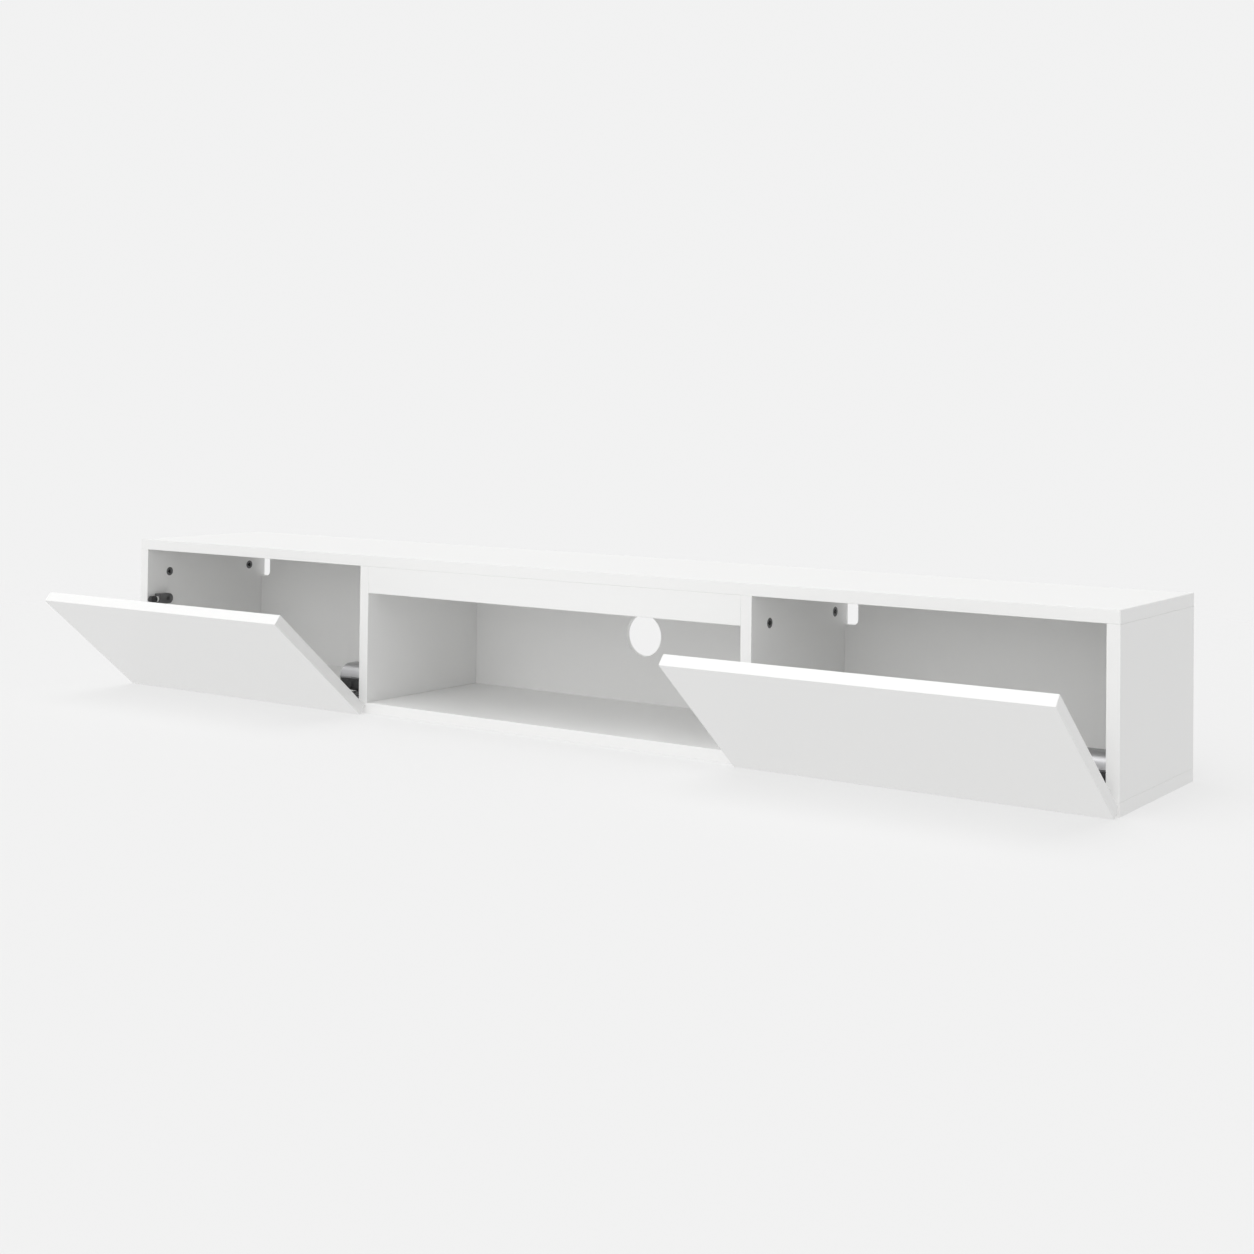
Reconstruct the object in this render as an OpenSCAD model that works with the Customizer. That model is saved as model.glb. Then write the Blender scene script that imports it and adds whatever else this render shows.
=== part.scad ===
// Wall-hung television cabinet: an open middle bay between two closed bays.
// Each closed bay has a flap that is hinged at the bottom and opens forwards.
// Origin: middle of the underside. +X runs along the cabinet, -Y is the front, +Z is up.
// Units: millimetres.

/* [Cabinet] */
// length over the two side panels
body_l = 1800; // [1560:10:2200]
// depth from the front edges to the back
body_d = 286; // [250:2:360]
// height over the top and bottom panels
body_h = 256; // [230:2:320]
// thickness of the carcass boards
board = 18; // [16:0.5:20]
// clear width of the open middle bay
mid_w = 704; // [520:4:860]
// height of the rail under the top of the middle bay
rail_h = 43; // [30:1:60]

/* [Back panel] */
// thickness of the back panel
back_t = 8; // [6:0.5:10]
// how far the back panel lies over each board around it
back_lap = 9; // [7:0.5:10]
// diameter of the cable hole
cable_d = 68; // [40:1:90]
// width of the notches for the wall hooks, inside the bay
notch_w = 22; // [14:1:30]
// height of the notches for the wall hooks
notch_h = 64; // [40:1:80]

/* [Flaps] */
// thickness of a flap
flap_t = 18; // [16:0.5:20]
// opening angle the cabinet is drawn at
flap_open = 50; // [0:1:90]
// height of the gap above and below a closed flap
flap_reveal = 2; // [2:0.5:4]
// gap between the end of a flap and the end of what it covers
flap_end_gap = 0.5; // [0.5:0.5:3]
// gap between a closed flap and the front edges
flap_gap = 2; // [2:0.25:2.5]
// distance from the top of a flap down to its buffers
buffer_drop = 45; // [25:1:60]

/* [Hinges] */
// distance from the board beside it to the middle of a hinge
hinge_inset = 25; // [24:1:60]
// diameter of the hinge cup
cup_d = 35; // [35:0.5:36]
// length of the hinge arm
arm_l = 58; // [50:1:70]

/* [Closing dampers] */
// height of the underside of the dampers over the underside of the cabinet
damper_z = 34; // [33:1:38]
// length of a damper from front to back
damper_l = 37; // [33:1:38]
// distance that a damper stands out from its board
damper_w = 44; // [36:1:46]
// height of the moulded body of a damper, under its cover
damper_h = 19; // [15:1:20]
// height of the steel cover over the body
cover_h = 22; // [16:1:26]

/* [Push latches] */
// height of the left latch over the underside
left_latch_z = 149; // [120:1:165]
// height of the right latch over the underside
right_latch_z = 112; // [105:1:165]
// length of the latch housing
latch_l = 31; // [28:1:40]
// height of the latch housing
latch_h = 18.5; // [16:0.5:22]

/* [Connectors] */
// distance from the front edge to the front connectors
cam_front = 51; // [40:1:60]
// distance from the back edge to the rear connectors
cam_rear = 40; // [34:1:50]
// distance from the end of a board to the middle of a cam
cam_drop = 42; // [34:1:44]

/* [Hidden] */
$fn = 48;
front_y = -body_d / 2;
back_y = body_d / 2;
side_in = body_l / 2 - board;
div_in = mid_w / 2;
div_out = div_in + board;
back_front_y = back_y - back_t;
loose = 0.1;
shadow = 0.3;

flap_w = body_l / 2 - div_in - 2 * flap_end_gap;
flap_h = body_h - 2 * flap_reveal;
flap_x = (body_l / 2 + div_in) / 2;
flap_face = front_y - flap_gap;
// The axis of the flap, at the pins of its hinges. It lies inside the flap, near
// its lower edge, so that the edge rises clear of the bottom panel as it opens.
axis_y = flap_face - 13.5;
axis_z = flap_reveal + 4.5;

cup_depth = 12.5;
cup_wall = 1.2;
cup_z = board + 6.5;
cup_flange_t = 1.4;
cup_flange_w = 52;
cup_flange_h = 22;
cup_screw_x = 22;
arm_w = 10;
arm_h = 9;
arm_wall = 1.6;
hinge_pin_d = 3;
pin_play = 0.05;
eye_r = 3.2;
neck_w = 4.4;
neck_x = 5;
ear_t = 1.5;
ear_x = neck_x / 2 + shadow + ear_t;
ear_top = 6.4;
nose_l = 12;
plate_t = 3;
plate_w = 46;
plate_d = 26;
plate_y = front_y + 37;
plate_screw_x = 16;

latch_t = 13;
latch_axis = 6.5;
latch_x = -side_in + latch_axis;
latch_front = front_y + 17;
tip_d = 12.5;
tip_l = 15;
tip_front = flap_face + 0.4;
shaft_d = 10;
plunger_travel = 3;
latch_screw_y = latch_front + latch_l - 11;
strike_d = 15;
strike_t = 1;

damper_y = front_y + 3;
damper_screw_y = front_y + 27;
damper_screw_l = 20;
damper_seat = 8;
damper_nose_d = 11;
damper_nose_y = front_y + 0.5;
damper_r = 4;
damper_top = damper_z + damper_h;
cover_t = 1.4;
lip_d = 3;

buffer_d = 9;
buffer_t = 1.7;

cam_d = 15;
cam_depth = 12.5;
bolt_d = 7;
thread_d = 5;
thread_l = 10;
bolt_side = 9;
dowel_d = 8;
dowel_l = 30;
rail_dowel_d = 6;
dowel_y = [front_y + cam_front + 34, back_y - cam_rear - 34];
cam_y = [front_y + cam_front, back_y - cam_rear];
rail_dowel_z = [body_h - board - rail_h * 0.3, body_h - board - rail_h * 0.7];

// each upright board: x of its face in the closed bay, and the way that face looks
uprights = [
    [-side_in, 1],
    [-div_out, -1],
    [div_out, 1],
    [side_in, -1],
];
hinge_x = [div_out + hinge_inset, side_in - hinge_inset];

// ---------- shared shapes ----------

// a box given by its low and high corners
module block(low, high) {
    translate(low)
        cube(high - low);
}

// a round bar between two heights of Z
module rod(x, y, z0, z1, d) {
    translate([x, y, z0])
        cylinder(h = z1 - z0, d = d);
}

// a round bar along +Y that starts at the given point
module rod_y(point, length, d) {
    translate(point)
        rotate([-90, 0, 0])
            cylinder(h = length, d = d);
}

// a round bar along +X that starts at the given point
module rod_x(point, length, d) {
    translate(point)
        rotate([0, 90, 0])
            cylinder(h = length, d = d);
}

// draws its children on the right and, mirrored, on the left
module both_sides() {
    children();
    mirror([1, 0, 0])
        children();
}

// turns its children from the closed flap to the drawn opening angle
module opened() {
    translate([0, axis_y, axis_z])
        rotate([flap_open, 0, 0])
            translate([0, -axis_y, -axis_z])
                children();
}

// places its children at the bore of every cam, with +X pointing out of the bore
module at_cams() {
    for (u = uprights)
        for (y = cam_y)
            for (end = [0, 1])
                translate([u[0], y, end == 0 ? board + cam_drop : body_h - board - cam_drop])
                    rotate([end == 0 ? 0 : 180, 0, 0])
                        mirror([u[1] == 1 ? 0 : 1, 0, 0])
                            children();
}

// ---------- connectors ----------

// bores that one cam and its bolt need, cut in the upright and in the end board
module cam_bores() {
    translate([-cam_depth - loose, 0, 0])
        rod_x([0, 0, 0], cam_depth + loose + 1, cam_d + 2 * loose);
    rod(-bolt_side, 0, -cam_drop - 0.01, 0, bolt_d + 2 * loose);
    rod(-bolt_side, 0, -cam_drop - thread_l - 0.3, -cam_drop, thread_d + 2 * loose);
}

// cam: a slotted drum with a cross recess and a pocket for the head of the bolt
module cam_lock() {
    difference() {
        rod_x([-cam_depth, 0, 0], cam_depth - 0.2, cam_d);
        block([-2.2, -4.2, -1.2], [0, 4.2, 1.2]);
        block([-2.2, -1.2, -4.2], [0, 1.2, 4.2]);
        rod(-bolt_side, 0, -cam_d, 1, bolt_d + 0.6);
    }
}

// bolt: thread in the end board, collar, plain shank and ball-shaped head
module cam_bolt() {
    translate([-bolt_side, 0, 0])
        rotate_extrude()
            polygon([
                [0, -cam_drop - thread_l],
                [thread_d / 2 - 0.6, -cam_drop - thread_l],
                [thread_d / 2, -cam_drop - thread_l + 1.5],
                [thread_d / 2, -cam_drop],
                [bolt_d / 2, -cam_drop],
                [bolt_d / 2, -cam_drop + 2],
                [thread_d / 2, -cam_drop + 3],
                [thread_d / 2, -cam_d / 2 + 1],
                [thread_d / 2 - 1, -5],
                [thread_d / 2 - 1, -3],
                [thread_d / 2 + 0.6, -2],
                [thread_d / 2 + 0.6, -0.5],
                [thread_d / 2 - 0.4, 0.6],
                [0, 0.6],
            ]);
}

module cam_locks() {
    color([0.07, 0.07, 0.07])
        at_cams()
            cam_lock();
}

module cam_bolts() {
    color([0.7, 0.7, 0.72])
        at_cams()
            cam_bolt();
}

// beech dowels with bevelled ends, between the uprights and the top and bottom panels
module dowel(d, l) {
    rotate_extrude()
        polygon([
            [0, -l / 2],
            [d / 2 - 1, -l / 2],
            [d / 2, -l / 2 + 1],
            [d / 2, l / 2 - 1],
            [d / 2 - 1, l / 2],
            [0, l / 2],
        ]);
}

module dowel_bore(d, l) {
    translate([0, 0, -l / 2 - 0.3])
        cylinder(h = l + 0.6, d = d + 2 * loose);
}

// a dowel reaches 10 mm into the top or bottom panel and the rest into the upright
module panel_dowel_places() {
    for (u = uprights)
        for (y = dowel_y)
            for (z = [board + dowel_l / 2 - 10, body_h - board - dowel_l / 2 + 10])
                translate([u[0] - u[1] * board / 2, y, z])
                    children();
}

module panel_dowels() {
    color([0.82, 0.68, 0.48])
        panel_dowel_places()
            dowel(dowel_d, dowel_l);
}

module panel_dowel_bores() {
    panel_dowel_places()
        dowel_bore(dowel_d, dowel_l);
}

module rail_dowel_places() {
    for (side = [-1, 1])
        for (z = rail_dowel_z)
            translate([side * (div_in - 5), front_y + board / 2, z])
                rotate([0, 90, 0])
                    children();
}

module rail_dowels() {
    color([0.82, 0.68, 0.48])
        rail_dowel_places()
            dowel(rail_dowel_d, dowel_l);
}

module rail_dowel_bores() {
    rail_dowel_places()
        dowel_bore(rail_dowel_d, dowel_l);
}

// ---------- carcass ----------

// cut along the back edge of a board so that the back panel lies flush in it
module back_rebate() {
    block(
        [-side_in - back_lap, back_front_y, board - back_lap],
        [side_in + back_lap, back_y + 1, body_h - board + back_lap]
    );
}

module end_board(z) {
    difference() {
        block([-body_l / 2, front_y, z], [body_l / 2, back_y, z + board]);
        back_rebate();
        at_cams()
            cam_bores();
        panel_dowel_bores();
        back_screw_bores();
        hinge_plate_bores();
    }
}

module top_panel() {
    color([0.95, 0.95, 0.94])
        end_board(body_h - board);
}

module bottom_panel() {
    color([0.95, 0.95, 0.94])
        end_board(0);
}

// side board; its rebate stops under the notch, so that its face runs on to the back
module side_board() {
    difference() {
        block([side_in, front_y, board], [body_l / 2, back_y, body_h - board]);
        intersection() {
            back_rebate();
            block([side_in - 1, front_y, 0], [body_l, back_y + 2, notch_z + shadow]);
        }
        at_cams()
            cam_bores();
        panel_dowel_bores();
        back_screw_bores();
        damper_screw_bores();
    }
}

module right_side() {
    color([0.95, 0.95, 0.94])
        side_board();
}

module left_side() {
    color([0.95, 0.95, 0.94])
        difference() {
            mirror([1, 0, 0])
                side_board();
            at_left_latch()
                latch_pilot_bore();
        }
}

module divider_board() {
    difference() {
        block([div_in, front_y, board], [div_out, back_front_y, body_h - board]);
        at_cams()
            cam_bores();
        panel_dowel_bores();
        rail_dowel_bores();
        back_screw_bores();
        damper_screw_bores();
    }
}

module right_divider() {
    color([0.95, 0.95, 0.94])
        difference() {
            divider_board();
            at_right_latch()
                latch_pilot_bore();
        }
}

module left_divider() {
    color([0.95, 0.95, 0.94])
        mirror([1, 0, 0])
            divider_board();
}

module front_rail() {
    color([0.95, 0.95, 0.94])
        difference() {
            block(
                [-div_in, front_y, body_h - board - rail_h],
                [div_in, front_y + board, body_h - board]
            );
            rail_dowel_bores();
        }
}

// ---------- back panel ----------

notch_r = 8;
notch_z = body_h - board - notch_h;

// notch in the top edge, between two x values, with one rounded lower corner
module hook_notch(wall_x, bay_x) {
    away = sign(bay_x - wall_x);
    translate([0, back_y + 1, 0])
        rotate([90, 0, 0])
            linear_extrude(back_t + 2) {
                translate([min(wall_x, bay_x - away * notch_r), notch_z])
                    square([abs(bay_x - wall_x) - notch_r, notch_h + board]);
                translate([min(wall_x, bay_x), notch_z + notch_r])
                    square([abs(bay_x - wall_x), notch_h + board]);
                translate([bay_x - away * notch_r, notch_z + notch_r])
                    circle(notch_r);
            }
}

module back_panel() {
    color([0.93, 0.93, 0.92])
        difference() {
            block(
                [-side_in - back_lap + shadow, back_front_y, board - back_lap + shadow],
                [side_in + back_lap - shadow, back_y, body_h - board + back_lap - shadow]
            );
            rod_y([0, back_front_y - 1, body_h / 2], back_t + 2, cable_d);
            both_sides() {
                hook_notch(div_out, div_out + notch_w);
                hook_notch(side_in + back_lap + 1, side_in - notch_w);
            }
            back_screw_bores();
        }
}

screw_head_d = 7;
screw_head_h = 2.6;
screw_d = 3.5;
screw_l = 25;

// every place where a screw holds the back panel, at its back face
module back_screw_places() {
    for (x = [div_in + board / 2, side_in + back_lap / 2])
        for (z = [board + 30, notch_z - 30])
            both_sides()
                translate([x, back_y, z])
                    children();
    for (x = [mid_w * 0.3, (div_out + side_in) / 2])
        for (z = [board - back_lap / 2, body_h - board + back_lap / 2])
            both_sides()
                translate([x, back_y, z])
                    children();
}

// countersunk screw that points along -Z from the origin, flush with it
module screw(d, head_d, head_h, l) {
    difference() {
        rotate_extrude()
            polygon([
                [0, -l],
                [d / 2, -l + d],
                [d / 2, -head_h],
                [head_d / 2, 0],
                [0, 0],
            ]);
        block([-head_d * 0.3, -0.4, -1.2], [head_d * 0.3, 0.4, 1]);
        block([-0.4, -head_d * 0.3, -1.2], [0.4, head_d * 0.3, 1]);
    }
}

module screw_bore(d, head_d, head_h, l) {
    rotate_extrude()
        polygon([
            [0, -l - 0.5],
            [d / 2 + loose, -l - 0.5],
            [d / 2 + loose, -head_h],
            [head_d / 2 + loose, 0],
            [head_d / 2 + loose, 0.5],
            [0, 0.5],
        ]);
}

module back_screws() {
    color([0.75, 0.75, 0.76])
        back_screw_places()
            translate([0, -0.1, 0])
                rotate([-90, 0, 0])
                    screw(screw_d, screw_head_d, screw_head_h, screw_l);
}

module back_screw_bores() {
    back_screw_places()
        rotate([-90, 0, 0])
            screw_bore(screw_d, screw_head_d, screw_head_h, screw_l);
}

// ---------- hinges: plate and arm on the bottom panel ----------

plate_top = board + plate_t;
arm_top = plate_top + arm_h;
arm_y0 = front_y + 2;
plate_screw_l = 15;
adjust_y = [front_y + 35, front_y + 50];
// middle line of the neck, from the pin over the front edge of the panel: [y, z]
neck_line = [
    [axis_y, axis_z],
    [front_y - 6.5, board - 0.5],
    [front_y + 6, board + 7],
];

module at_hinges() {
    for (x = hinge_x)
        both_sides()
            translate([x, 0, 0])
                children();
}

module at_plate_screws() {
    at_hinges()
        for (side = [-1, 1])
            translate([side * plate_screw_x, plate_y, plate_top])
                children();
}

// cross-shaped plate with a rib that the arm sits over
module hinge_plate() {
    difference() {
        union() {
            translate([0, plate_y, board])
                linear_extrude(plate_t) {
                    square([plate_w - 14, 14], center = true);
                    translate([plate_screw_x, 0])
                        circle(7);
                    translate([-plate_screw_x, 0])
                        circle(7);
                    square([arm_w, plate_d + 14], center = true);
                }
            block(
                [-arm_w / 2 + arm_wall + shadow, plate_y - 18, plate_top - 1],
                [arm_w / 2 - arm_wall - shadow, plate_y + 18, plate_top + 5]
            );
        }
        for (y = adjust_y)
            rod(0, y, plate_top, plate_top + 6, 4.2);
    }
}

module hinge_plates() {
    color([0.72, 0.72, 0.74])
        difference() {
            at_hinges()
                hinge_plate();
            at_plate_screws()
                screw_bore(screw_d, screw_head_d, screw_head_h, plate_screw_l);
        }
}

module hinge_plate_screws() {
    color([0.72, 0.72, 0.74])
        at_plate_screws()
            translate([0, 0, -0.1])
                screw(screw_d, screw_head_d, screw_head_h, plate_screw_l);
}

module hinge_plate_bores() {
    at_plate_screws()
        screw_bore(screw_d, screw_head_d, screw_head_h, plate_screw_l);
}

// a straight bar between two points, rounded at both ends
module bar(from, to, w) {
    translate(from)
        rotate(atan2(to[1] - from[1], to[0] - from[0]))
            translate([0, -w / 2])
                square([norm(to - from), w]);
    for (end = [from, to])
        translate(end)
            circle(d = w);
}

// the neck bends down into the cup and ends in an eye round the pin
module neck_outline() {
    difference() {
        union() {
            bar(neck_line[0], neck_line[1], neck_w);
            bar(neck_line[1], neck_line[2], neck_w);
            translate(neck_line[0])
                circle(eye_r);
        }
        translate(neck_line[0])
            circle(d = hinge_pin_d + 2 * pin_play);
    }
}

module arm_outline() {
    difference() {
        translate([arm_y0, plate_top])
            square([arm_l, arm_h]);
        translate([arm_y0 + arm_l, plate_top + arm_h])
            rotate(45)
                square(6, center = true);
        translate([arm_y0, plate_top + arm_h])
            rotate(45)
                square(4, center = true);
    }
}

// draws a flat outline in [y, z] as a plate of the given width, centred on x = 0
module upright_plate(w) {
    translate([-w / 2, 0, 0])
        rotate([90, 0, 90])
            linear_extrude(w)
                children();
}

// arm: two cheeks and a roof over the plate, a solid nose, and the cranked neck
module hinge_arm() {
    difference() {
        upright_plate(arm_w)
            arm_outline();
        block(
            [-arm_w / 2 + arm_wall, arm_y0 + nose_l, plate_top - 1],
            [arm_w / 2 - arm_wall, arm_y0 + arm_l + 1, arm_top - arm_wall]
        );
        block(
            [-arm_w / 2 + arm_wall, arm_y0 + nose_l, plate_top - 1],
            [arm_w / 2 - arm_wall, arm_y0 + 24, arm_top + 20]
        );
        for (y = adjust_y)
            rod(0, y, arm_top - arm_wall - 1, arm_top + 1, 4.2);
    }
    upright_plate(neck_x)
        neck_outline();
}

module hinge_arms() {
    color([0.74, 0.74, 0.76])
        at_hinges()
            hinge_arm();
}

// adjusting screws: a pan head on the roof of the arm and a shank down into the rib
module hinge_arm_screws() {
    color([0.6, 0.6, 0.62])
        at_hinges()
            for (y = adjust_y)
                difference() {
                    union() {
                        rod(0, y, plate_top + 0.5, arm_top + 0.1, 4);
                        rod(0, y, arm_top, arm_top + 1.8, 7);
                    }
                    block([-2.2, y - 0.4, arm_top + 0.6], [2.2, y + 0.4, arm_top + 3]);
                    block([-0.4, y - 2.2, arm_top + 0.6], [0.4, y + 2.2, arm_top + 3]);
                }
}

// ---------- hinge cups in the flaps ----------

cup_screw_l = 13;

// places its children at the middle of both cups of the right flap, mouth along +Z
module at_cups() {
    for (x = hinge_x)
        translate([x, flap_face, cup_z])
            rotate([-90, 0, 0])
                children();
}

module at_cup_screws() {
    at_cups()
        for (side = [-1, 1])
            translate([side * cup_screw_x, 0, cup_flange_t])
                children();
}

// outline of an ear beside the neck: round the pin, and in to the mouth of the cup
module ear_outline(play) {
    translate([axis_y, axis_z])
        circle(eye_r + play);
    translate([axis_y - eye_r / 2 - play, axis_z - eye_r - play])
        square([
            eye_r / 2 + play + flap_face - axis_y + cup_flange_t,
            eye_r + ear_top + 2 * play,
        ]);
}

// pressed cup with a flange, round which the flap's bore is cut
module cup_bowl() {
    difference() {
        union() {
            translate([0, 0, -cup_depth])
                cylinder(h = cup_depth, d = cup_d);
            linear_extrude(cup_flange_t) {
                square([cup_flange_w - cup_flange_h + 8, cup_flange_h - 6], center = true);
                for (side = [-1, 1])
                    translate([side * cup_screw_x, 0])
                        circle(6);
                circle(d = cup_d + 3);
            }
        }
        translate([0, 0, -cup_depth + cup_wall])
            cylinder(h = cup_depth + 3, d = cup_d - 2 * cup_wall);
    }
}

// cup with a slot through its lower wall, and two ears that carry the pin in it
module hinge_cup(x) {
    difference() {
        union() {
            translate([x, flap_face, cup_z])
                rotate([-90, 0, 0])
                    cup_bowl();
            translate([x, 0, 0])
                upright_plate(2 * ear_x)
                    ear_outline(0);
        }
        translate([x, 0, 0])
            block(
                [-neck_x / 2 - shadow, axis_y - cup_d, -board],
                [neck_x / 2 + shadow, flap_face + cup_d, axis_z + ear_top + 1]
            );
    }
    rod_x([x - ear_x, axis_y, axis_z], 2 * ear_x, hinge_pin_d);
}

module right_cups() {
    difference() {
        for (x = hinge_x)
            hinge_cup(x);
        at_cup_screws()
            screw_bore(screw_d, 6.4, 1.2, cup_screw_l);
    }
}

module right_hinge_cups() {
    color([0.78, 0.78, 0.8])
        opened()
            right_cups();
}

module left_hinge_cups() {
    mirror([1, 0, 0])
        right_hinge_cups();
}

module right_cup_screws() {
    color([0.72, 0.72, 0.74])
        opened()
            at_cup_screws()
                translate([0, 0, -loose / 2])
                    screw(screw_d, 6.4, 1.2, cup_screw_l);
}

module left_cup_screws() {
    mirror([1, 0, 0])
        right_cup_screws();
}

// ---------- flaps ----------

// pocket for the ears, open at the lower edge of the flap so that the neck can swing
module hinge_pocket() {
    upright_plate(2 * ear_x + 2 * loose)
        ear_outline(loose);
    block(
        [-ear_x - loose, axis_y, flap_reveal - 1],
        [ear_x + loose, flap_face + 1, axis_z]
    );
}

// the closed right flap, in front of the side, the divider and both end boards
module flap_board() {
    difference() {
        block(
            [flap_x - flap_w / 2, flap_face - flap_t, flap_reveal],
            [flap_x + flap_w / 2, flap_face, flap_reveal + flap_h]
        );
        at_cups()
            translate([0, 0, -cup_depth])
                cylinder(h = cup_depth + 1, d = cup_d + 2 * loose);
        for (x = hinge_x)
            translate([x, 0, 0])
                hinge_pocket();
        at_cup_screws()
            screw_bore(screw_d, 6.4, 1.2, cup_screw_l);
    }
}

module strike_bore() {
    rod_y([latch_x, flap_face - strike_t, 0], strike_t + 1, strike_d + 2 * loose);
}

module right_flap() {
    color([0.95, 0.95, 0.94])
        opened()
            difference() {
                flap_board();
                at_right_latch()
                    strike_bore();
            }
}

module left_flap() {
    color([0.95, 0.95, 0.94])
        opened()
            difference() {
                mirror([1, 0, 0])
                    flap_board();
                at_left_latch()
                    strike_bore();
            }
}

// thin steel disc let in flush, where the tip of the latch meets the flap
module strike_plate() {
    difference() {
        rod_y([latch_x, flap_face - strike_t, 0], strike_t, strike_d);
        rod_y([latch_x, flap_face - 0.4, 0], 1, 4);
    }
}

module right_strike_plate() {
    color([0.7, 0.7, 0.72])
        opened()
            at_right_latch()
                strike_plate();
}

module left_strike_plate() {
    color([0.7, 0.7, 0.72])
        opened()
            at_left_latch()
                strike_plate();
}

// felt buffers, where the ends of the flap meet the side and the divider
module right_flap_buffers() {
    color([0.16, 0.16, 0.16])
        opened()
            for (x = [div_in + board / 2, side_in + board / 2])
                rod_y([x, flap_face, flap_reveal + flap_h - buffer_drop], buffer_t, buffer_d);
}

module left_flap_buffers() {
    mirror([1, 0, 0])
        right_flap_buffers();
}

// ---------- closing dampers ----------

// places its children on both faces of the right bay, with +X pointing into the bay
module at_damper_boards() {
    translate([div_out, 0, 0])
        children();
    translate([side_in, 0, 0])
        mirror([1, 0, 0])
            children();
}

module at_damper_screws() {
    at_damper_boards()
        translate([damper_seat, damper_screw_y, damper_z + damper_h / 2])
            rotate([0, 90, 0])
                children();
}

module damper_screw_bores() {
    at_damper_screws()
        screw_bore(screw_d, screw_head_d, screw_head_h, damper_screw_l);
}

// side view of the moulded body, rounded at its lower front corner
module damper_outline() {
    translate([damper_y + damper_r, damper_z])
        square([damper_l - damper_r, damper_h]);
    translate([damper_y, damper_z + damper_r])
        square([damper_l, damper_h - damper_r]);
    translate([damper_y + damper_r, damper_z + damper_r])
        circle(damper_r);
}

// moulded body with a sunk screw, and a round nose that stops the closing flap
module damper_body() {
    nose_z = damper_z + damper_h / 2;
    difference() {
        union() {
            translate([damper_w / 2, 0, 0])
                upright_plate(damper_w)
                    damper_outline();
            rod_y([damper_w / 2, damper_nose_y, nose_z], 5, damper_nose_d);
        }
        rod_x([damper_seat, damper_screw_y, nose_z], damper_w, screw_head_d + 0.6);
    }
}

module damper_bodies() {
    color([0.05, 0.05, 0.05])
        both_sides()
            difference() {
                at_damper_boards()
                    damper_body();
                damper_screw_bores();
            }
}

// side view of the cover: flat at the back, and one round sweep down to the front
module cover_outline(inset) {
    intersection() {
        translate([damper_y + inset, damper_top - inset])
            square([damper_l - 2 * inset, cover_h]);
        union() {
            translate([damper_y + cover_h, damper_top])
                circle(cover_h - inset);
            translate([damper_y + cover_h, damper_top - inset])
                square([damper_l, cover_h]);
        }
    }
}

// pressed steel hood over the body, with a rolled lip along its front edge
module damper_cover() {
    translate([damper_w / 2, 0, 0])
        difference() {
            upright_plate(damper_w)
                cover_outline(0);
            upright_plate(damper_w - 2 * cover_t)
                cover_outline(cover_t);
        }
    rod_x([0, damper_y + lip_d / 2 - 0.8, damper_top + lip_d / 2], damper_w, lip_d);
}

module damper_covers() {
    color([0.74, 0.74, 0.76])
        both_sides()
            at_damper_boards()
                damper_cover();
}

module damper_screws() {
    color([0.72, 0.72, 0.74])
        both_sides()
            at_damper_screws()
                translate([0, 0, -loose / 2])
                    screw(screw_d, screw_head_d, screw_head_h, damper_screw_l);
}

// ---------- push latches ----------

latch_screw_l = 16;

// Each latch is drawn at height zero on a board whose face is at x = -side_in: the left
// one sits there, on the side, and the right one on the divider.
module at_left_latch() {
    translate([0, 0, left_latch_z])
        children();
}

module at_right_latch() {
    translate([div_out + side_in, 0, right_latch_z])
        children();
}

module latch_screw_place() {
    translate([-side_in + 3.5, latch_screw_y, 0])
        rotate([0, 90, 0])
            children();
}

module latch_pilot_bore() {
    latch_screw_place()
        screw_bore(screw_d, screw_head_d, screw_head_h, latch_screw_l);
}

// housing with a round rear end, a blind bore for the plunger and a sunk screw
module latch_housing() {
    difference() {
        translate([-side_in, latch_front, 0])
            rotate([90, 0, 90])
                linear_extrude(latch_t) {
                    translate([0, -latch_h / 2])
                        square([latch_l - latch_h / 2, latch_h]);
                    translate([latch_l - latch_h / 2, 0])
                        circle(d = latch_h);
                }
        rod_y([latch_x, latch_front - 1, 0], 15, shaft_d + 0.15);
        latch_pilot_bore();
        rod_x([-side_in + 2.5, latch_screw_y, 0], latch_t, screw_head_d + 0.6);
    }
}

module right_latch_housing() {
    color([0.3, 0.3, 0.3])
        at_right_latch()
            latch_housing();
}

module left_latch_housing() {
    color([0.3, 0.3, 0.3])
        at_left_latch()
            latch_housing();
}

module latch_screw() {
    latch_screw_place()
        translate([0, 0, -loose / 2])
            screw(screw_d, screw_head_d, screw_head_h, latch_screw_l);
}

module latch_screws() {
    color([0.72, 0.72, 0.74]) {
        at_left_latch()
            latch_screw();
        at_right_latch()
            latch_screw();
    }
}

// plunger: a plain shaft that slides in the housing and carries the tip
module latch_plunger() {
    rod_y([latch_x, tip_front + 7, 0], latch_front + 10 - tip_front - 7, shaft_d);
}

module right_latch_plunger() {
    color([0.9, 0.9, 0.9])
        at_right_latch()
            latch_plunger();
}

module left_latch_plunger() {
    color([0.9, 0.9, 0.9])
        at_left_latch()
            latch_plunger();
}

// domed tip, pushed over the end of the plunger
module latch_tip() {
    difference() {
        translate([latch_x, tip_front, 0])
            rotate([-90, 0, 0])
                rotate_extrude()
                    polygon([
                        [0, 0],
                        [tip_d * 0.22, 0.2],
                        [tip_d * 0.36, 1],
                        [tip_d * 0.45, 2.4],
                        [tip_d / 2, 4.6],
                        [tip_d / 2, tip_l - 1],
                        [tip_d / 2 - 1, tip_l],
                        [0, tip_l],
                    ]);
        rod_y([latch_x, tip_front + 7, 0], tip_l, shaft_d + 2 * loose);
    }
}

module right_latch_tip() {
    color([0.05, 0.05, 0.05])
        at_right_latch()
            latch_tip();
}

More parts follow.
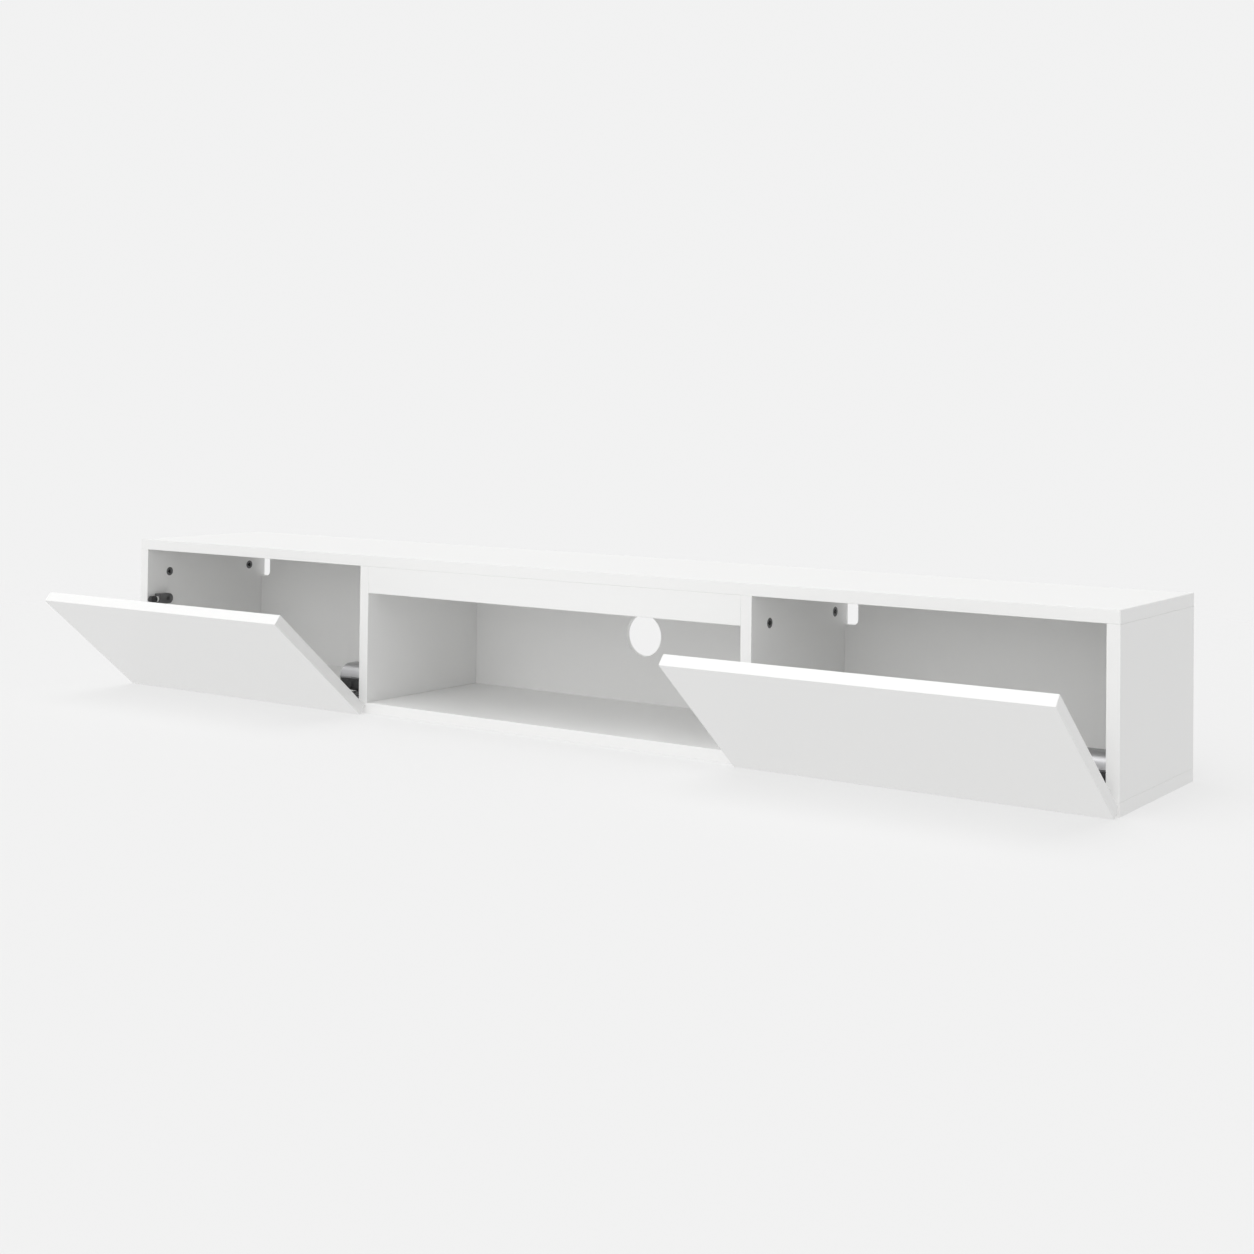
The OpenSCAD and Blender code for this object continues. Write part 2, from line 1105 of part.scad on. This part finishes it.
module left_latch_tip() {
    color([0.05, 0.05, 0.05])
        at_left_latch()
            latch_tip();
}

// ---------- what is drawn ----------

top_panel();
bottom_panel();
left_side();
right_side();
left_divider();
right_divider();
back_panel();
front_rail();
left_flap();
right_flap();
hinge_plates();
hinge_arms();
hinge_plate_screws();
hinge_arm_screws();
left_hinge_cups();
right_hinge_cups();
left_cup_screws();
right_cup_screws();
left_latch_housing();
right_latch_housing();
latch_screws();
left_latch_plunger();
right_latch_plunger();
left_latch_tip();
right_latch_tip();
left_strike_plate();
right_strike_plate();
left_flap_buffers();
right_flap_buffers();
damper_bodies();
damper_covers();
damper_screws();
cam_locks();
cam_bolts();
panel_dowels();
rail_dowels();
back_screws();
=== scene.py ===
import math

import bmesh
import bpy
import numpy as np
from mathutils import Matrix, Vector


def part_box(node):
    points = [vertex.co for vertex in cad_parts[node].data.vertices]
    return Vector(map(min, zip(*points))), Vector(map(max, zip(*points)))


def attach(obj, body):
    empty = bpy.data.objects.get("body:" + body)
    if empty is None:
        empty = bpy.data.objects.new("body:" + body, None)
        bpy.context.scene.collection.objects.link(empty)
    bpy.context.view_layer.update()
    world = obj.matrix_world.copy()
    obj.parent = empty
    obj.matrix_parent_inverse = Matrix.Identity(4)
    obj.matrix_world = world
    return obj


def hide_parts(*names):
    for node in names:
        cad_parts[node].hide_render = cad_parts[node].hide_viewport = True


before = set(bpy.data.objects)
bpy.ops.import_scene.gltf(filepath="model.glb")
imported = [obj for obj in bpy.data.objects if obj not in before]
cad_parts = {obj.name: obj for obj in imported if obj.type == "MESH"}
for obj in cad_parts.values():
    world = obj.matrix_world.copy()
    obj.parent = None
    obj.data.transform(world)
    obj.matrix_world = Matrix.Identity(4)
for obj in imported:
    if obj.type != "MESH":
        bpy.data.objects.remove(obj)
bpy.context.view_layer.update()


# ---------- Top and bottom panels ----------
# 18 mm particle board faced with white melamine. A white edge band is glued on
# every cut edge and its corners are scraped to a small radius.

class Value:
    """A socket in a node tree, so that shader maths reads as plain expressions."""

    def __init__(self, tree, socket):
        self.tree = tree
        self.socket = socket

    def maths(self, operation, *others):
        node = self.tree.nodes.new("ShaderNodeMath")
        node.operation = operation
        for slot, value in zip(node.inputs, others):
            if isinstance(value, Value):
                self.tree.links.new(value.socket, slot)
            else:
                slot.default_value = value
        return Value(self.tree, node.outputs[0])

    def __add__(self, other):
        return self.maths("ADD", self, other)

    def __sub__(self, other):
        return self.maths("SUBTRACT", self, other)

    def __rsub__(self, other):
        return self.maths("SUBTRACT", other, self)

    def __mul__(self, other):
        return self.maths("MULTIPLY", self, other)

    def __lt__(self, other):
        return self.maths("LESS_THAN", self, other)

    def __gt__(self, other):
        return self.maths("GREATER_THAN", self, other)

    def __abs__(self):
        return self.maths("ABSOLUTE", self)

    def either(self, other):
        return self.maths("MAXIMUM", self, other)


class Finish:
    """A material whose nodes are added by kind, with the constants of its surface set first."""

    def __init__(self, name, **constants):
        self.material = bpy.data.materials.new(name)
        self.material.use_nodes = True
        self.tree = self.material.node_tree
        self.surface = self.tree.nodes["Principled BSDF"]
        for socket, value in constants.items():
            self.surface.inputs[socket.replace("_", " ")].default_value = value
        self.place = self.node("TexCoord")["Object"]

    def node(self, kind, settings=None, sockets=None):
        node = self.tree.nodes.new("ShaderNode" + kind)
        for key, value in (settings or {}).items():
            setattr(node, key, value)
        for key, value in (sockets or {}).items():
            if isinstance(value, Value):
                self.tree.links.new(value.socket, node.inputs[key])
            else:
                node.inputs[key].default_value = value
        return {out.name: Value(self.tree, out) for out in node.outputs if out.enabled}

    def noise(self, scale, detail, stretch=None):
        place = self.place
        if stretch:
            place = self.node("Mapping", None, {"Vector": place, "Scale": stretch})["Vector"]
        sockets = {"Vector": place, "Scale": scale, "Detail": detail}
        return self.node("TexNoise", None, sockets)["Fac"]

    def axes(self, place):
        parts = self.node("SeparateXYZ", None, {"Vector": place})
        return parts["X"], parts["Y"], parts["Z"]

    def mix(self, share, first, second):
        sockets = {0: share, 6: first, 7: second}
        return self.node("Mix", {"data_type": "RGBA"}, sockets)["Result"]

    def bump(self, height, depth, strength):
        sockets = {"Height": height, "Distance": depth, "Strength": strength}
        return self.node("Bump", None, sockets)["Normal"]

    def feed(self, **sockets):
        for socket, value in sockets.items():
            self.tree.links.new(value.socket, self.surface.inputs[socket.replace("_", " ")])
        return self.material


# Lengths are in metres. Roundings finer than clamped_below stop where they would meet.
same_point = 2e-6
flat_within = math.radians(0.5)
sharp_from = math.radians(35)
clamped_below = 0.0005


def eased(node, name, radius, finish, body, steps=3):
    """The solid of a CAD node with its triangles joined into whole faces. Edges that
    are sharper than 35 degrees and longer than four times the radius, in metres, are
    rounded, and the flat faces beside them keep their own direction."""
    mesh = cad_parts[node].data.copy()
    mesh.name = name
    shape = bmesh.new()
    shape.from_mesh(mesh)
    bmesh.ops.remove_doubles(shape, verts=shape.verts, dist=same_point)
    bmesh.ops.dissolve_limit(
        shape, angle_limit=flat_within, verts=shape.verts, edges=shape.edges
    )
    for face in shape.faces:
        face.smooth = True
    rounded = shape.edges.layers.float.new("bevel_weight_edge")
    for edge in shape.edges:
        sharp = edge.calc_face_angle(0.0) > sharp_from
        edge[rounded] = float(sharp and edge.calc_length() > 4 * radius)
    shape.to_mesh(mesh)
    shape.free()
    mesh.materials.clear()
    mesh.materials.append(finish)
    piece = bpy.data.objects.new(name, mesh)
    bpy.context.scene.collection.objects.link(piece)
    rounding = piece.modifiers.new("rounded edges", "BEVEL")
    rounding.width = radius
    rounding.segments = steps
    rounding.limit_method = "WEIGHT"
    rounding.use_clamp_overlap = radius < clamped_below
    rounding.loop_slide = False
    shading = piece.modifiers.new("flat faces stay flat", "WEIGHTED_NORMAL")
    shading.mode = "FACE_AREA"
    shading.weight = 100
    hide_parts(node)
    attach(piece, body)
    return piece


band = 0.0010
joint_half_width = 0.00012
joint_share = 0.35
joint_sink = 0.6
joint_grey = (0.5, 0.5, 0.49, 1)
board_white = (0.90, 0.90, 0.893, 1)
board_round = 0.0006
peel_scale = 900.0
peel_depth = 0.00003
peel_strength = 0.5


def faced_board(name, seams):
    """White facing: a faint orange peel, slow changes of gloss, and a hairline
    joint one band's thickness behind each banded edge. Seams are pairs of
    axis number and place along that axis."""
    finish = Finish(name, Roughness=0.36)
    peel = finish.noise(peel_scale, 2.0)
    cloud = finish.noise(5.0, 3.0)
    axes = finish.axes(finish.place)
    joint = None
    for axis, place in seams:
        line = abs(axes[axis] - place) < joint_half_width
        joint = line if joint is None else joint.either(line)
    colour = finish.mix(cloud * 0.5, board_white, (0.885, 0.887, 0.88, 1))
    colour = finish.mix(joint * joint_share, colour, joint_grey)
    return finish.feed(
        Base_Color=colour,
        Roughness=cloud * 0.10 + 0.31,
        Normal=finish.bump(peel - joint * joint_sink, peel_depth, peel_strength),
    )


for node in ("top_panel", "bottom_panel"):
    low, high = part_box(node)
    facing = faced_board(
        node + "_melamine", [(1, low.y + band), (0, low.x + band), (0, high.x - band)]
    )
    eased(node, node + "_board", board_round, facing, "cabinet")


# ---------- Sides, dividers and rail ----------
# The same faced board, banded on the front edge only. The uprights stand between
# the two panels, on dowels and cams, and the rail is dowelled between the dividers.

for node in ("left_side", "right_side", "left_divider", "right_divider"):
    low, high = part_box(node)
    facing = faced_board(node + "_melamine", [(1, low.y + band)])
    eased(node, node + "_board", board_round, facing, "cabinet")

low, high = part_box("front_rail")
facing = faced_board("front_rail_melamine", [(2, low.z + band)])
eased("front_rail", "front_rail_board", board_round, facing, "cabinet")


# ---------- Back panel ----------
# 8 mm fibreboard with a white face. The round cable hole and the notches for the
# wall hooks are routed, and their cut edges are painted white.

finish = Finish("back_panel_facing", Roughness=0.6)
fibre = finish.noise(1400.0, 3.0)
cloud = finish.noise(7.0, 3.0)
eased(
    "back_panel", "back_panel_board", 0.0002,
    finish.feed(
        Base_Color=finish.mix(cloud * 0.6, (0.91, 0.91, 0.903, 1), board_white),
        Roughness=fibre * 0.14 + 0.52,
        Normal=finish.bump(fibre, 0.00004, 0.5),
    ),
    "cabinet",
)


# ---------- Flaps ----------
# Doors of the same 18 mm board, finished all round. The joints of their edge
# bands lie one band's thickness inside each face, so they turn with the flap.

opening = math.radians(50)


def flap_finish(name, node):
    """The facing of a board that stands at an angle: the pattern's frame is
    turned about X by the opening angle, so the joints follow the flap's edges."""
    corners = np.array([v.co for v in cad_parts[node].data.vertices])
    along = corners[:, 2] * math.cos(opening) - corners[:, 1] * math.sin(opening)
    finish = Finish(name, Roughness=0.34)
    flat = finish.node(
        "Mapping", None, {"Vector": finish.place, "Rotation": (-opening, 0.0, 0.0)}
    )["Vector"]
    across, depth, up = finish.axes(flat)
    joint = abs(up - float(along.min() + band)) < joint_half_width
    joint = joint.either(abs(up - float(along.max() - band)) < joint_half_width)
    for end in (corners[:, 0].min() + band, corners[:, 0].max() - band):
        joint = joint.either(abs(across - float(end)) < joint_half_width)
    peel = finish.noise(peel_scale, 2.0)
    cloud = finish.noise(4.0, 3.0)
    colour = finish.mix(cloud * 0.5, board_white, (0.887, 0.889, 0.882, 1))
    colour = finish.mix(joint * joint_share, colour, joint_grey)
    return finish.feed(
        Base_Color=colour,
        Roughness=cloud * 0.10 + 0.29,
        Normal=finish.bump(peel - joint * joint_sink, peel_depth, peel_strength),
    )


for side in ("left", "right"):
    node = side + "_flap"
    eased(
        node, node + "_door", 0.0007, flap_finish(node + "_facing", node),
        node + "_body",
    )


# ---------- Hinges ----------
# Pressed steel, nickel plated: a cross plate screwed to the bottom panel, an arm
# clipped over its rib with a cranked neck, and a cup let into the flap that holds its
# pin. The strike discs that the latches push against share the finish.

finish = Finish("nickel_pressing", Metallic=1.0, Roughness=0.28)
scratch = finish.noise(260.0, 4.0, (1.0, 0.12, 1.0))
tarnish = finish.noise(120.0, 2.0)
nickel = finish.feed(
    Base_Color=finish.mix(tarnish, (0.68, 0.68, 0.69, 1), (0.58, 0.58, 0.60, 1)),
    Roughness=scratch * 0.16 + 0.20,
    Normal=finish.bump(scratch, 0.00004, 0.6),
)
for node, body in (
    ("hinge_plates", "cabinet"),
    ("hinge_arms", "cabinet"),
    ("left_hinge_cups", "left_flap_body"),
    ("right_hinge_cups", "right_flap_body"),
    ("left_strike_plate", "left_flap_body"),
    ("right_strike_plate", "right_flap_body"),
):
    eased(node, node + "_nickel", 0.00018, nickel, body, steps=2)


# ---------- Screws and bolts ----------
# Zinc plated steel with cross recesses, in the hinges, the latches and the back
# panel, and the bolts that the cams pull on inside the boards.

finish = Finish("zinc_plating", Metallic=1.0, Roughness=0.34)
spangle = finish.noise(700.0, 3.0)
zinc = finish.feed(
    Base_Color=finish.mix(spangle, (0.60, 0.61, 0.63, 1), (0.50, 0.51, 0.53, 1)),
    Roughness=spangle * 0.22 + 0.22,
    Normal=finish.bump(spangle, 0.00003, 0.5),
)
for node, body in (
    ("hinge_plate_screws", "cabinet"),
    ("hinge_arm_screws", "cabinet"),
    ("left_cup_screws", "left_flap_body"),
    ("right_cup_screws", "right_flap_body"),
    ("latch_screws", "cabinet"),
    ("damper_screws", "cabinet"),
    ("back_screws", "cabinet"),
    ("cam_bolts", "cabinet"),
):
    eased(node, node + "_zinc", 0.00008, zinc, body, steps=2)


# ---------- Cams ----------
# Die-cast drums, blackened, let flush into the uprights. The tool turns each one by
# the recess in its middle, which draws the head of the bolt in. The shade deep in
# that recess is painted: a near-black disc in the middle of each drum.

low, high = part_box("cam_locks")
drum = 0.015
# Radius of the painted shade disc in the middle of each cam.
recess_shade_radius = 0.0030
middle = (low + high) / 2
apart = (high - low - Vector((0.0, drum, drum))) / 2
finish = Finish("black_die_casting", Metallic=0.4, Roughness=0.45)
grain = finish.noise(1800.0, 3.0)
along, depth, height = finish.axes(finish.place)
depth = abs(depth - middle.y) - apart.y
height = abs(height - middle.z) - apart.z
# Painted shade: a near-black disc in the middle of each drum stands in for the shade deep in
# its recess.
painted_recess_shade = (depth * depth + height * height) < recess_shade_radius ** 2
worn = finish.mix(grain, (0.12, 0.12, 0.122, 1), (0.21, 0.21, 0.215, 1))
eased(
    "cam_locks", "cam_drums", 0.00025,
    finish.feed(
        Base_Color=finish.mix(painted_recess_shade, worn, (0.008, 0.008, 0.008, 1)),
        Roughness=grain * 0.25 + 0.32,
        Normal=finish.bump(grain, 0.00008, 0.6),
    ),
    "cabinet",
)


# ---------- Dowels ----------
# Beech, turned and grooved, glued into the ends of the uprights and the rail.

finish = Finish("raw_beech", Roughness=0.7)
fleck = finish.noise(500.0, 4.0, (1.0, 1.0, 0.15))
beech = finish.feed(
    Base_Color=finish.mix(fleck, (0.62, 0.43, 0.25, 1), (0.48, 0.31, 0.17, 1)),
    Roughness=fleck * 0.2 + 0.6,
    Normal=finish.bump(fleck, 0.0001, 0.6),
)
for node in ("panel_dowels", "rail_dowels"):
    eased(node, node + "_beech", 0.00015, beech, "cabinet", steps=2)


# ---------- Push latches ----------
# A grey moulded housing screwed to the upright at one end of each flap, with a pale
# sliding shaft and a black domed tip that meets the steel disc in the flap.


def grained_plastic(name, dark, light):
    """A moulding with the fine, slightly uneven grain of its mould."""
    finish = Finish(name, Roughness=0.45)
    grain = finish.noise(2500.0, 2.0)
    return finish.feed(
        Base_Color=finish.mix(grain, dark, light),
        Roughness=grain * 0.2 + 0.38,
        Normal=finish.bump(grain, 0.00005, 0.6),
    )


black_plastic = grained_plastic(
    "black_moulding", (0.022, 0.022, 0.023, 1), (0.035, 0.035, 0.036, 1)
)
grey_plastic = grained_plastic(
    "grey_moulding", (0.10, 0.10, 0.102, 1), (0.125, 0.125, 0.127, 1)
)
finish = Finish("pale_moulding", Roughness=0.4, Subsurface_Weight=0.1)
finish.surface.inputs["Subsurface Radius"].default_value = (0.002, 0.002, 0.002)
grain = finish.noise(1500.0, 2.0)
pale_plastic = finish.feed(
    Base_Color=finish.mix(grain, (0.78, 0.78, 0.76, 1), (0.72, 0.72, 0.70, 1)),
    Roughness=grain * 0.15 + 0.33,
    Normal=finish.bump(grain, 0.00003, 0.5),
)
for side in ("left", "right"):
    housing = side + "_latch_housing"
    eased(housing, housing + "_moulding", 0.0004, grey_plastic, "cabinet")
    body = side + "_plunger_body"
    shaft = side + "_latch_plunger"
    eased(shaft, shaft + "_moulding", 0.0003, pale_plastic, body)
    tip = side + "_latch_tip"
    eased(tip, tip + "_moulding", 0.0003, black_plastic, body)


# ---------- Closing dampers ----------
# A black moulded body screwed to each upright over the hinge, under a hood of
# pressed steel, satin nickel plated. Its round nose softens the flap's closing.

eased("damper_bodies", "damper_mouldings", 0.0008, black_plastic, "cabinet")

finish = Finish("satin_nickel_hood", Metallic=1.0, Roughness=0.36)
brushing = finish.noise(300.0, 3.0, (0.08, 1.0, 1.0))
eased(
    "damper_covers", "damper_hoods", 0.0003,
    finish.feed(
        Base_Color=finish.mix(brushing, (0.50, 0.50, 0.51, 1), (0.44, 0.44, 0.45, 1)),
        Roughness=brushing * 0.12 + 0.30,
        Normal=finish.bump(brushing, 0.00002, 0.4),
    ),
    "cabinet",
)


# ---------- Buffers ----------
# Discs of black felt with an adhesive back, where the flap's ends meet the carcass.

finish = Finish("black_felt", Roughness=0.95, Sheen_Weight=0.4)
fuzz = finish.noise(3500.0, 6.0)
felt = finish.feed(
    Base_Color=finish.mix(fuzz, (0.02, 0.02, 0.02, 1), (0.09, 0.09, 0.09, 1)),
    Normal=finish.bump(fuzz, 0.0004, 0.9),
)
for side in ("left", "right"):
    node = side + "_flap_buffers"
    eased(node, node + "_felt", 0.0004, felt, side + "_flap_body")


# ---------- Floor ----------
# A plain pale floor that fades into the equally pale background all round.

pale = 0.886
shade_kept = 0.40
reach = 3.2
lines = 9
spread = np.linspace(-reach, reach, lines)
across, down = np.meshgrid(spread, spread)
points = np.stack([across.ravel(), down.ravel(), np.zeros(lines ** 2)], axis=1)
steps = np.arange(lines - 1)
corner = (steps[:, None] * lines + steps[None, :]).ravel()
quads = np.stack([corner, corner + 1, corner + lines + 1, corner + lines], axis=1)
mesh = bpy.data.meshes.new("floor")
mesh.from_pydata(points.tolist(), [], quads.tolist())
finish = Finish("floor_paint", Roughness=0.9, Specular_IOR_Level=0.1)
finish.surface.inputs["Base Color"].default_value = (0.877, 0.877, 0.875, 1)
distance = finish.node("VectorMath", {"operation": "LENGTH"}, {0: finish.place})["Value"]
fade = finish.node(
    "MapRange", {"interpolation_type": "SMOOTHSTEP"},
    {"Value": distance, "From Min": 1.5, "From Max": 2.9, "To Min": 1.0, "To Max": 0.0},
)["Result"]
clear = finish.node("BsdfTransparent")["BSDF"]
painted = Value(finish.tree, finish.surface.outputs["BSDF"])
glow = finish.node(
    "Emission", None, {"Color": (pale, pale, pale, 1), "Strength": 1.0}
)["Emission"]
lit = finish.node("MixShader", None, {0: shade_kept, 1: glow, 2: painted})["Shader"]
faded = finish.node("MixShader", None, {0: fade, 1: clear, 2: lit})["Shader"]
output = finish.tree.nodes["Material Output"]
finish.tree.links.new(faded.socket, output.inputs["Surface"])
mesh.materials.append(finish.material)
floor = bpy.data.objects.new("floor", mesh)
bpy.context.scene.collection.objects.link(floor)
floor.visible_diffuse = False
floor.visible_shadow = False


# ---------- Light ----------
# An even sky over an even pale ground, a very wide soft lamp overhead and one from
# the front that no surface mirrors. Seen directly or in a reflection, the sky is the
# background.

world = bpy.data.worlds.new("studio")
world.use_nodes = True
bpy.context.scene.world = world
tree = world.node_tree
sky = tree.nodes["Background"]
path = tree.nodes.new("ShaderNodeLightPath")
seen = Value(tree, path.outputs["Is Camera Ray"])
seen = seen.either(Value(tree, path.outputs["Is Glossy Ray"]))
seen = seen.either(Value(tree, path.outputs["Is Transmission Ray"]))
direction = tree.nodes.new("ShaderNodeTexCoord")
split = tree.nodes.new("ShaderNodeSeparateXYZ")
tree.links.new(direction.outputs["Generated"], split.inputs["Vector"])
above = Value(tree, split.outputs["Z"]) > 0.0
ground_light = 0.77
sky_light = 0.57
even = above * (sky_light - ground_light) + ground_light
level = seen * pale + (1.0 - seen) * even
sky.inputs["Color"].default_value = (1.0, 1.0, 1.0, 1)
tree.links.new(level.socket, sky.inputs["Strength"])

softbox_width = math.radians(60)
for name, energy, towards, mirrored in (
    ("overhead_softbox", 0.94, (-0.2, -0.1, 0.97), True),
    ("front_softbox", 0.92, (0.05, -0.85, 0.5), False),
):
    lamp = bpy.data.lights.new(name, "SUN")
    lamp.energy = energy
    lamp.angle = softbox_width
    softbox = bpy.data.objects.new(name, lamp)
    softbox.rotation_euler = Vector(towards).to_track_quat("Z", "Y").to_euler()
    softbox.visible_glossy = mirrored
    bpy.context.scene.collection.objects.link(softbox)


# ---------- Camera ----------
# Seen from the right and slightly above, with a normal lens held nearly level.

turned = math.radians(34.726)
raised = math.radians(1.113)
leaning = math.radians(0.651)
ahead = Vector((
    -math.sin(turned) * math.cos(raised),
    math.cos(turned) * math.cos(raised),
    math.sin(raised),
))
level_right = Vector((math.cos(turned), math.sin(turned), 0.0))
straight_up = level_right.cross(ahead)
right = math.cos(leaning) * level_right + math.sin(leaning) * straight_up
up = math.cos(leaning) * straight_up - math.sin(leaning) * level_right
view = bpy.data.cameras.new("camera")
view.sensor_width = 36.0
view.lens = 53.12
view.shift_y = -0.2015
camera = bpy.data.objects.new("camera", view)
pose = Matrix((right, up, -ahead)).transposed().to_4x4()
pose.translation = Vector((1.7017, -2.3769, 0.4960))
camera.matrix_world = pose
bpy.context.scene.collection.objects.link(camera)
bpy.context.scene.camera = camera
bpy.context.scene.view_settings.view_transform = "Standard"
